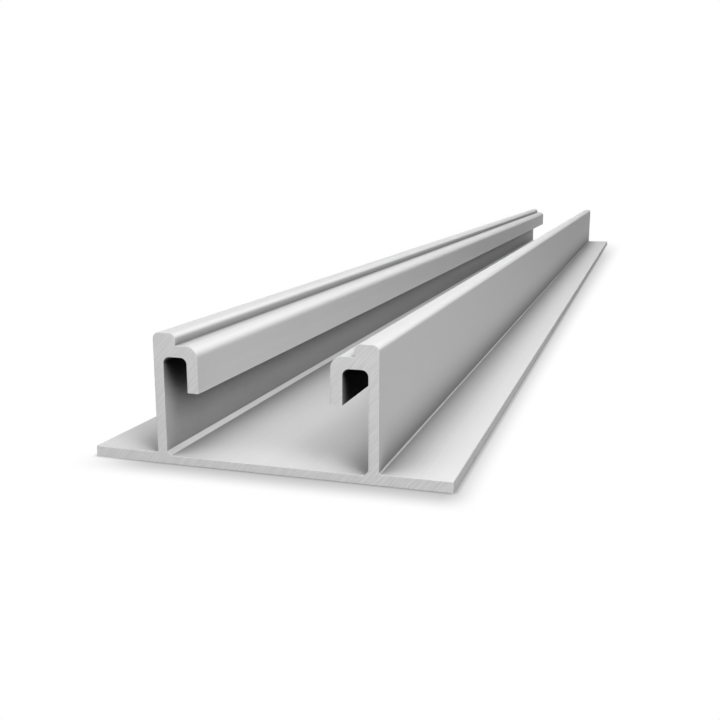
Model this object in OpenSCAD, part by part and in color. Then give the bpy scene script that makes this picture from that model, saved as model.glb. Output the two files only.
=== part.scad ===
// Solar mounting rail: one length of extruded aluminium profile.
// A flat base plate carries two upright webs, and each web ends in a rounded bead and an inward hook.
// The width runs along X, the length along Y, and the underside lies at z = 0.
// The origin is the middle of the underside. All sizes are in millimetres.

/* [Rail] */
// Length of the sawn rail
rail_l = 560; // [60:5:3000]
// Height from the underside to the top of the beads
rail_h = 25; // [18:0.5:60]

/* [Base plate] */
// Width of the base plate
base_w = 70; // [46:1:160]
// Thickness of the two flanges outside the webs
flange_t = 2; // [1.2:0.1:4]
// Thickness of the thinner floor between the webs
floor_t = 1.55; // [1:0.05:4]

/* [Webs] */
// Clear width of the channel between the two webs
channel_w = 39.5; // [36:0.5:60]
// Thickness of each web
web_t = 1.95; // [1:0.05:4]
// Leg of the chamfer at the foot of each web, on the channel's side
inner_foot = 0.8; // [0.1:0.05:2]
// Leg of the chamfer at the foot of each web, on the flange's side
outer_foot = 0.25; // [0.1:0.05:2]

/* [Beads] */
// Width of the bead on top of each web
bead_w = 4.5; // [2.5:0.1:6.5]
// Height of the step from the top of the hook to the top of the bead
bead_h = 2.3; // [1.3:0.1:5]
// Radius of the two top corners of the bead
bead_r = 1.2; // [0.2:0.05:2.2]

/* [Hooks] */
// Clear width of the mouth between the two lips
mouth_w = 25.6; // [12:0.2:29]
// Height of the hook, from its top to the lower edge of its lip
hook_h = 8.8; // [4:0.1:18]
// Radius of the outer corner, where the arm turns down into the lip
hook_r = 2.25; // [0.2:0.05:4]
// Thickness of the level arm
arm_t = 2.2; // [0.8:0.1:5]
// Thickness of the hanging lip
lip_t = 2.2; // [0.8:0.1:4]
// Radius of the two top corners of the pocket behind the lip
pocket_r = 1.2; // [0.1:0.05:2]

/* [Hidden] */
$fn = 64;

// Amount by which a cut runs past the face it opens
past = 1;

// Faces of the right-hand web and hook, as distances from the middle plane
web_in = channel_w / 2;
web_out = web_in + web_t;
bead_in = web_out - bead_w;
lip_front = mouth_w / 2;
lip_back = lip_front + lip_t;

// Levels above the underside
hook_top = rail_h - bead_h;
pocket_top = hook_top - arm_t;
lip_bottom = hook_top - hook_h;

// What a corner of radius r loses, for a corner at the origin and an outline that lies towards +X and +Y
module corner_waste(r) {
    difference() {
        translate([-past, -past]) square(r + past);
        translate([r, r]) circle(r);
    }
}

// Upright block from x0 to x1 and from z0 to z1, with its top corners rounded by r0 at x0 and r1 at x1
module block_with_round_top(x0, x1, z0, z1, r0, r1) {
    difference() {
        translate([x0, z0]) square([x1 - x0, z1 - z0]);
        if (r0 > 0) translate([x0, z1]) rotate(-90) corner_waste(r0);
        if (r1 > 0) translate([x1, z1]) rotate(180) corner_waste(r1);
    }
}

// Triangle that fills the corner at the origin with a 45 degree chamfer facing +X and +Y
module foot_chamfer(leg) {
    polygon([[leg, 0], [0, leg], [-leg, -leg]]);
}

// Half of the base plate: the thinner floor from the middle plane, and the thicker flange that starts
// under the web
module plate_half() {
    square([web_out, floor_t]);
    translate([web_in, 0]) square([base_w / 2 - web_in, flange_t]);
}

// Upright web, its two chamfered feet and the bead above the hook
module web() {
    translate([web_in, 0]) square([web_t, hook_top]);
    translate([web_in, floor_t]) rotate(90) foot_chamfer(inner_foot);
    translate([web_out, flange_t]) foot_chamfer(outer_foot);
    block_with_round_top(bead_in, web_out, pocket_top, rail_h, bead_r, bead_r);
}

// Hook that reaches into the channel: a level arm and a hanging lip, with the pocket open below
module hook() {
    difference() {
        block_with_round_top(lip_front, web_out, lip_bottom, hook_top, hook_r, 0);
        block_with_round_top(lip_back, web_in, lip_bottom - past, pocket_top, pocket_r, pocket_r);
    }
}

// Cross-section of the right-hand half, with its width along X and its height along Y
module section_half() {
    plate_half();
    web();
    hook();
}

module mounting_rail() {
    color("silver")
        for (side = [0, 1]) mirror([side, 0, 0])
            translate([0, rail_l / 2, 0]) rotate([90, 0, 0])
                linear_extrude(height = rail_l) section_half();
}

mounting_rail();
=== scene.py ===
"""Solar mounting rail: the finish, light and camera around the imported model. All lengths are in metres."""

import math

import bpy
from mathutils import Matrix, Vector


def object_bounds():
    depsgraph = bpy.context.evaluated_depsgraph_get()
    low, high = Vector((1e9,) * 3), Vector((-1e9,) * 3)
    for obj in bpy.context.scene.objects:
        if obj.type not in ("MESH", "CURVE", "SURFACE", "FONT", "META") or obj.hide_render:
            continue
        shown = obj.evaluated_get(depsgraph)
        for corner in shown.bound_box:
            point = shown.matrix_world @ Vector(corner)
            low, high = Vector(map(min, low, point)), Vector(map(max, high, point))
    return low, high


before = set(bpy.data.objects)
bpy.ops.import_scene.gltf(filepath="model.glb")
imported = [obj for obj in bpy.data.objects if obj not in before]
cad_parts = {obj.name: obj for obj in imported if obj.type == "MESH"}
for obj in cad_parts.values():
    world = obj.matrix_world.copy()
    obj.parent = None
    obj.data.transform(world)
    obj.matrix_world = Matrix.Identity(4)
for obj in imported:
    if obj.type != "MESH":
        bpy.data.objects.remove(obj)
cad_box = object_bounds()

MM = 0.001
HALF_WIDTH, HALF_LENGTH = cad_box[1][0], cad_box[1][1]

# Camera: fitted to the edges of the rail in the photograph
CAMERA_PLACE = Vector((64.09, -425.66, 54.13)) * MM
CAMERA_TILT = math.radians(78.209)
CAMERA_HEADING = math.radians(17.471)
CAMERA_LENS = 45.519
SENSOR_WIDTH = 36

# Lamps: each is a soft disc aimed at the middle of the near end. The heading is 0 in front of the rail and
# 90 at its right, and the level is what it gives a surface that faces it
NEAR_END = Vector((0, -280, 10)) * MM
LAMPS = {
    "near_lamp": {"heading": 52, "height": 45, "distance": 0.4, "radius": 0.09, "level": 0.33},
    "side_lamp": {"heading": 70, "height": 60, "distance": 0.6, "radius": 0.2, "level": 0.32},
    "front_lamp": {"heading": 0, "height": 20, "distance": 0.6, "radius": 0.2, "level": 0.31},
    "left_lamp": {"heading": 315, "height": 50, "distance": 0.6, "radius": 0.2, "level": 0.22},
    "back_lamp": {"heading": 180, "height": 50, "distance": 0.6, "radius": 0.2, "level": 0.14},
    "far_lamp": {"heading": 180, "height": 30, "distance": 1.3, "radius": 0.4, "level": 0.22},
}

# World: what it gives the surfaces from above, and from below the floor, where only the underside meets it
AMBIENT_LEVEL = 0.02
UNDERSIDE_LEVEL = 0.6

# Floor: its tone where it lights the rail, and the tone that it shows in the middle of the painted shadow
FLOOR_WIDTH = 40
FLOOR_TONE = 0.3
SHADOW_TONE = 0.56
# How far the shadow reaches past the near end
SHADOW_FRONT = 9.5 * MM
# How far it reaches past the right side, at the near end and at the far end, and where inside it is full
SHADOW_RIGHT = (5 * MM, 13 * MM)
SHADOW_RIGHT_INSET = 2 * MM
# How far it reaches past the left side and the far end, and how far inside them it is full
SHADOW_LEFT = (4 * MM, 14 * MM)
SHADOW_BACK = (40 * MM, 130 * MM)
# Width of the thin painted contact shadow where the rail meets the floor
CONTACT_SHADOW_REACH = 1.2 * MM

# Aluminium
METAL_COLOUR = (0.78, 0.78, 0.78)
METALLIC = 0.04
SPECULAR_LEVEL = 0.03
ROUGHNESS = 0.42
# What the lines do to the roughness, and their relief
ROUGHNESS_SPREAD = 0.2
RELIEF_STRENGTH = 0.3
RELIEF_DEPTH = 0.01 * MM
# How far a face looks along the rail when it begins to be a cut end, and when it is one
CUT_END = (0.6, 0.8)
# Fine lines along the rail
DRAW_LINE_PITCH = 0.3 * MM
DRAW_LINE_LENGTH = 120 * MM
DRAW_LINE_CONTRAST = 0.08
# Saw lines across the cut ends
SAW_LINE_PITCH = 0.25 * MM
SAW_LINE_LENGTH = 5 * MM
SAW_LINE_SLOPE = math.radians(48)
SAW_LINE_CONTRAST = 0.34
LINE_DETAIL = 3
# Rays for the open share of the sky and for the softened edges
SKY_SAMPLES = 16
BEVEL_SAMPLES = 8
# Painted shade in the corners: its reach, and the open shares of the sky between which it goes from black to
# none
CORNER_REACH = 12 * MM
CORNER_SKY = (0.16, 1.0)
# Painted shade behind the hooks: its reach, and the open share straight above at which it ends
ROOF_REACH = 20 * MM
ROOF_SKY = 0.16
# How far a face looks up where this shade begins and is full: faces that look down have none
ROOF_FACE = (-0.5, -0.3)
# Painted shade just behind the cut ends, on what looks into the channel: its reach and its tone
CUT_REACH = 9 * MM
CUT_PAINTED_SHADE = 0.8
# Where the inner faces of the webs begin and are full, as distances from the middle plane
INNER_FACE = (16 * MM, 19 * MM)
# The same for their outer faces, then where these begin to end and have ended, and the painted shade that
# darkens them
OUTER_FACE = (20 * MM, 21 * MM, 23 * MM, 25 * MM)
OUTER_FACE_PAINTED_SHADE = 0.92
# Chamfered feet of the webs: how high they reach, their blur, the slants at which they begin and are full,
# and the painted shade on the outer feet
FOOT_HEIGHT = 4 * MM
FOOT_BLUR = 0.5 * MM
FOOT_SLANT = (0.12, 0.5)
OUTER_FOOT_PAINTED_SHADE = 0.75
# The inner feet get a painted bounce light that lightens the channel round them: their place, the side of the
# channel, the reach and the gain
FOOT_PLACE = (19.35 * MM, 1.95 * MM)
CHANNEL_SIDE = 20 * MM
PAINTED_BOUNCE_REACH = 6 * MM
PAINTED_BOUNCE_LIGHT = 0.09
# Edges: their softening and their painted highlight. Edges that turn down further than this stay sharp
EDGE_RADIUS = 0.25 * MM
EDGE_PAINTED_HIGHLIGHT = 0.5
EDGE_DOWN = -0.02
# Rounded corners: their painted highlight, and how far sideways and up a spot looks where it begins and is
# full
ROUNDING_PAINTED_HIGHLIGHT = 0.3
ROUNDING_SIDEWAYS = (0.4, 0.9)
ROUNDING_UP = (0.1, 0.55)


class Nodes:
    """Adds nodes to one node tree and links them by socket name."""

    def __init__(self, tree):
        self.tree = tree

    def add(self, kind, inputs=None, **settings):
        node = self.tree.nodes.new(kind)
        for name, value in settings.items():
            setattr(node, name, value)
        for socket, value in (inputs or {}).items():
            if isinstance(value, bpy.types.NodeSocket):
                self.tree.links.new(value, node.inputs[socket])
            else:
                node.inputs[socket].default_value = value
        return node

    def math(self, operation, first, second=0.0):
        return self.add("ShaderNodeMath", {0: first, 1: second}, operation=operation).outputs[0]

    def multiply(self, *factors):
        product = factors[0]
        for factor in factors[1:]:
            product = self.math("MULTIPLY", product, factor)
        return product

    def mix(self, factor, low, high):
        return self.add("ShaderNodeMix", {0: factor, 2: low, 3: high}).outputs[0]

    def mix_vector(self, factor, low, high):
        return self.add("ShaderNodeMix", {0: factor, 4: low, 5: high}, data_type="VECTOR").outputs[1]

    def ramp(self, value, low, high):
        values = {"Value": value, "From Min": low, "From Max": high}
        return self.add("ShaderNodeMapRange", values, interpolation_type="SMOOTHSTEP").outputs[0]

    def parts(self, vector):
        return self.add("ShaderNodeSeparateXYZ", {0: vector}).outputs

    def bevel(self, radius):
        return self.add("ShaderNodeBevel", {"Radius": radius}, samples=BEVEL_SAMPLES).outputs[0]

    def open_share(self, reach, only_local=False, **inputs):
        """The share of the sky that no surface within reach covers."""
        inputs["Distance"] = reach
        settings = {"samples": SKY_SAMPLES, "only_local": only_local}
        return self.add("ShaderNodeAmbientOcclusion", inputs, **settings).outputs["AO"]

    def noise(self, place):
        values = {"Vector": place, "Scale": 1, "Detail": LINE_DETAIL}
        return self.add("ShaderNodeTexNoise", values).outputs[0]

    def seen(self):
        """1 for the rays that show the background: from the camera, in a gloss or through glass."""
        path = self.add("ShaderNodeLightPath")
        camera_or_gloss = self.math("MAXIMUM", path.outputs["Is Camera Ray"], path.outputs["Is Glossy Ray"])
        return self.math("MAXIMUM", camera_or_gloss, path.outputs["Is Transmission Ray"])


def new_material(name):
    material = bpy.data.materials.new(name)
    material.use_nodes = True
    material.node_tree.nodes.clear()
    return material


def place_camera():
    data = bpy.data.cameras.new("camera")
    data.lens = CAMERA_LENS
    data.sensor_width = SENSOR_WIDTH
    data.clip_start = 0.01
    data.clip_end = 100
    camera = bpy.data.objects.new("camera", data)
    camera.location = CAMERA_PLACE
    camera.rotation_euler = (CAMERA_TILT, 0, CAMERA_HEADING)
    bpy.context.scene.collection.objects.link(camera)
    bpy.context.scene.camera = camera


def light_world():
    """White where it is seen, and weaker where it lights the surfaces."""
    world = bpy.data.worlds.new("world")
    world.use_nodes = True
    nodes = Nodes(world.node_tree)
    background = world.node_tree.nodes["Background"]
    background.inputs["Color"].default_value = (1, 1, 1, 1)
    direction = nodes.parts(nodes.add("ShaderNodeTexCoord").outputs["Generated"])
    below = nodes.math("LESS_THAN", direction["Z"], 0.0)
    level = nodes.mix(below, AMBIENT_LEVEL, UNDERSIDE_LEVEL)
    strength = nodes.mix(nodes.seen(), level, 1.0)
    world.node_tree.links.new(strength, background.inputs["Strength"])
    bpy.context.scene.world = world


def hang_lamp(name, heading, height, distance, radius, level):
    data = bpy.data.lights.new(name, "AREA")
    data.shape = "DISK"
    data.size = 2 * radius
    data.energy = level * math.pi ** 2 * distance ** 2
    lamp = bpy.data.objects.new(name, data)
    turn = math.radians(heading)
    lift = math.radians(height)
    away = Vector((math.sin(turn) * math.cos(lift), -math.cos(turn) * math.cos(lift), math.sin(lift)))
    lamp.location = NEAR_END + away * distance
    lamp.rotation_mode = "QUATERNION"
    lamp.rotation_quaternion = away.to_track_quat("Z", "Y")
    lamp.visible_camera = False
    bpy.context.scene.collection.objects.link(lamp)


def make_floor_finish():
    """White with a painted soft shadow of the rail where it is seen, and grey where it lights the rail."""
    material = new_material("floor")
    nodes = Nodes(material.node_tree)
    place = nodes.parts(nodes.add("ShaderNodeTexCoord").outputs["Object"])
    right_reach = nodes.mix(nodes.ramp(place["Y"], -HALF_LENGTH, HALF_LENGTH), *SHADOW_RIGHT)
    right_end = nodes.math("ADD", right_reach, HALF_WIDTH)
    # Painted shadow, which fades out past each side and each end of the rail
    shade = nodes.multiply(
        nodes.ramp(place["X"], -HALF_WIDTH - SHADOW_LEFT[0], -HALF_WIDTH + SHADOW_LEFT[1]),
        nodes.ramp(place["X"], right_end, HALF_WIDTH - SHADOW_RIGHT_INSET),
        nodes.ramp(place["Y"], -HALF_LENGTH - SHADOW_FRONT, -HALF_LENGTH),
        nodes.ramp(place["Y"], HALF_LENGTH + SHADOW_BACK[0], HALF_LENGTH - SHADOW_BACK[1]),
    )
    soft = nodes.mix(shade, 1.0, SHADOW_TONE)
    # Painted contact shadow, darker where the rail covers more of the sky
    painted_contact_shadow = nodes.mix(nodes.math("GREATER_THAN", shade, 0.0), 1.0, nodes.open_share(CONTACT_SHADOW_REACH))
    shown = nodes.add("ShaderNodeEmission", {"Strength": nodes.multiply(soft, painted_contact_shadow)})
    lit = nodes.add("ShaderNodeBsdfDiffuse", {"Color": (FLOOR_TONE, FLOOR_TONE, FLOOR_TONE, 1)})
    surface = nodes.add("ShaderNodeMixShader", {0: nodes.seen(), 1: lit.outputs[0], 2: shown.outputs[0]})
    nodes.add("ShaderNodeOutputMaterial", {"Surface": surface.outputs[0]})
    return material


def lay_floor():
    """A level floor that is open beneath the rail, so that the underside can be seen from below."""
    corners = []
    for x, y in ((FLOOR_WIDTH / 2, FLOOR_WIDTH / 2), (HALF_WIDTH, HALF_LENGTH)):
        corners += [(-x, -y, 0), (x, -y, 0), (x, y, 0), (-x, y, 0)]
    mesh = bpy.data.meshes.new("floor")
    mesh.from_pydata(corners, [], [(0, 1, 5, 4), (1, 2, 6, 5), (2, 3, 7, 6), (3, 0, 4, 7)])
    mesh.materials.append(make_floor_finish())
    floor = bpy.data.objects.new("floor", mesh)
    bpy.context.scene.collection.objects.link(floor)


def add_lines(nodes, place, end_on):
    """Fine lines along the rail, and slanting saw lines across its cut ends."""
    across = 1 / DRAW_LINE_PITCH
    draw_scale = (across, 1 / DRAW_LINE_LENGTH, across)
    saw_scale = (1 / SAW_LINE_LENGTH, 1, 1 / SAW_LINE_PITCH)
    draw_place = nodes.add("ShaderNodeMapping", {"Vector": place, "Scale": draw_scale}).outputs[0]
    turned = nodes.add("ShaderNodeMapping", {"Vector": place, "Rotation": (0, SAW_LINE_SLOPE, 0)}).outputs[0]
    saw_place = nodes.add("ShaderNodeMapping", {"Vector": turned, "Scale": saw_scale}).outputs[0]
    draw = nodes.noise(draw_place)
    saw = nodes.noise(saw_place)
    return nodes.mix(end_on, draw, saw)


def add_feet(nodes, place, outlook):
    """How far each spot belongs to an inner foot, and how far to an outer one."""
    wide = nodes.parts(nodes.bevel(FOOT_BLUR))
    slant = nodes.multiply(nodes.math("ABSOLUTE", wide["X"]), wide["Z"])
    low = nodes.math("LESS_THAN", place["Z"], FOOT_HEIGHT)
    feet = nodes.multiply(nodes.ramp(slant, *FOOT_SLANT), low)
    inner_foot = nodes.multiply(feet, nodes.math("LESS_THAN", outlook, 0.0))
    return inner_foot, nodes.math("SUBTRACT", feet, inner_foot)


def shade_corners(nodes, place, inner_foot):
    """The painted shade left in the corners. The inner feet keep clear of it, and a painted bounce light
    lifts it in the channel round them.
    """
    aside = nodes.math("ABSOLUTE", place["X"])
    offset = nodes.add("ShaderNodeCombineXYZ", {
        "X": nodes.math("SUBTRACT", aside, FOOT_PLACE[0]),
        "Y": nodes.math("SUBTRACT", place["Z"], FOOT_PLACE[1]),
    }).outputs[0]
    distance = nodes.add("ShaderNodeVectorMath", {0: offset}, operation="LENGTH").outputs["Value"]
    in_channel = nodes.math("LESS_THAN", aside, CHANNEL_SIDE)
    # Painted bounce light round the inner feet
    painted_bounce = nodes.multiply(nodes.ramp(distance, PAINTED_BOUNCE_REACH, 0.0), in_channel, PAINTED_BOUNCE_LIGHT)
    # Painted shade in the corners, from the open share of the sky
    corners = nodes.ramp(nodes.open_share(CORNER_REACH, only_local=True), *CORNER_SKY)
    return nodes.mix(nodes.math("MAXIMUM", inner_foot, painted_bounce), corners, 1.0)


def shade_roofed(nodes, normal):
    """The painted shade left where hardly any sky is straight above, on faces that don't look down."""
    upwards = nodes.add("ShaderNodeCombineXYZ", {"Z": 1.0}).outputs[0]
    # Painted shade under the hooks, from the open share of the sky straight above
    overhead = nodes.open_share(ROOF_REACH, only_local=True, Normal=upwards)
    not_down = nodes.ramp(normal["Z"], *ROOF_FACE)
    return nodes.mix(not_down, 1.0, nodes.ramp(overhead, 0.0, ROOF_SKY))


def shade_behind_cuts(nodes, place, inner_side):
    """The painted shade left just behind the cut ends, on what looks into the channel."""
    near_cut = nodes.ramp(nodes.math("ABSOLUTE", place["Y"]), HALF_LENGTH - CUT_REACH, HALF_LENGTH)
    # Painted shade behind the cut ends
    return nodes.mix(nodes.multiply(inner_side, near_cut), 1.0, CUT_PAINTED_SHADE)


def add_shade(nodes, place, normal):
    """The tone left by all the painted shades together."""
    # Distance of the face from the middle plane, below 0 where it looks in
    outlook = nodes.multiply(place["X"], normal["X"])
    inner_foot, outer_foot = add_feet(nodes, place, outlook)
    inner_face = nodes.ramp(outlook, -INNER_FACE[0], -INNER_FACE[1])
    inner_side = nodes.math("MAXIMUM", inner_foot, inner_face)
    face_start = nodes.ramp(outlook, OUTER_FACE[0], OUTER_FACE[1])
    outer_face = nodes.multiply(face_start, nodes.ramp(outlook, OUTER_FACE[3], OUTER_FACE[2]))
    return nodes.multiply(
        shade_corners(nodes, place, inner_foot),
        shade_roofed(nodes, normal),
        shade_behind_cuts(nodes, place, inner_side),
        # Painted shade on the outer faces of the webs
        nodes.mix(outer_face, 1.0, OUTER_FACE_PAINTED_SHADE),
        # Painted shade on the outer feet
        nodes.mix(outer_foot, 1.0, OUTER_FOOT_PAINTED_SHADE),
    )


def add_edges(nodes):
    """The softened normal, and the painted highlight on edges and rounded corners."""
    bevel = nodes.bevel(EDGE_RADIUS)
    face_normal = nodes.add("ShaderNodeNewGeometry").outputs["Normal"]
    soft = nodes.parts(bevel)
    downward = nodes.math("LESS_THAN", soft["Z"], EDGE_DOWN)
    edge_normal = nodes.mix_vector(downward, bevel, face_normal)
    along = nodes.add("ShaderNodeVectorMath", {0: edge_normal, 1: face_normal}, operation="DOT_PRODUCT")
    edges = nodes.math("SUBTRACT", 1.0, along.outputs["Value"])
    sideways = nodes.math("ABSOLUTE", soft["X"])
    rounding = nodes.multiply(nodes.ramp(sideways, *ROUNDING_SIDEWAYS), nodes.ramp(soft["Z"], *ROUNDING_UP))
    # Painted highlight on edges and on rounded corners that look up
    gain = nodes.math("ADD", nodes.multiply(edges, EDGE_PAINTED_HIGHLIGHT), nodes.multiply(rounding, ROUNDING_PAINTED_HIGHLIGHT))
    return edge_normal, nodes.math("ADD", gain, 1.0)


def make_aluminium():
    """Plain aluminium as it leaves the press, with lines and soft edges, and with painted shade and painted
    highlights in its colour.
    """
    material = new_material("aluminium")
    nodes = Nodes(material.node_tree)
    coordinates = nodes.add("ShaderNodeTexCoord").outputs
    place = nodes.parts(coordinates["Object"])
    normal = nodes.parts(coordinates["Normal"])
    end_on = nodes.ramp(nodes.math("ABSOLUTE", normal["Y"]), *CUT_END)

    lines = add_lines(nodes, coordinates["Object"], end_on)
    contrast = nodes.mix(end_on, DRAW_LINE_CONTRAST, SAW_LINE_CONTRAST)
    centred = nodes.math("SUBTRACT", lines, 0.5)
    grain = nodes.math("ADD", nodes.multiply(centred, contrast), 1.0)
    edge_normal, painted_highlight = add_edges(nodes)
    # Tone of the colour: the grain of the lines, with painted shade and painted highlights
    tone = nodes.multiply(grain, add_shade(nodes, place, normal), painted_highlight)
    colour = nodes.add("ShaderNodeVectorMath", {0: METAL_COLOUR, "Scale": tone}, operation="SCALE").outputs[0]
    roughness = nodes.math("ADD", nodes.multiply(centred, ROUGHNESS_SPREAD), ROUGHNESS)
    relief = {"Height": lines, "Strength": RELIEF_STRENGTH, "Distance": RELIEF_DEPTH, "Normal": edge_normal}
    bump = nodes.add("ShaderNodeBump", relief).outputs[0]

    shader = nodes.add("ShaderNodeBsdfPrincipled", {
        "Base Color": colour,
        "Metallic": METALLIC,
        "Specular IOR Level": SPECULAR_LEVEL,
        "Roughness": roughness,
        "Normal": bump,
    })
    nodes.add("ShaderNodeOutputMaterial", {"Surface": shader.outputs[0]})
    return material


def finish_rail():
    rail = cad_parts["mounting_rail"]
    rail.data.materials.clear()
    rail.data.materials.append(make_aluminium())


place_camera()
light_world()
for lamp_name, lamp_facts in LAMPS.items():
    hang_lamp(lamp_name, **lamp_facts)
lay_floor()
finish_rail()
bpy.context.scene.view_settings.view_transform = "Standard"
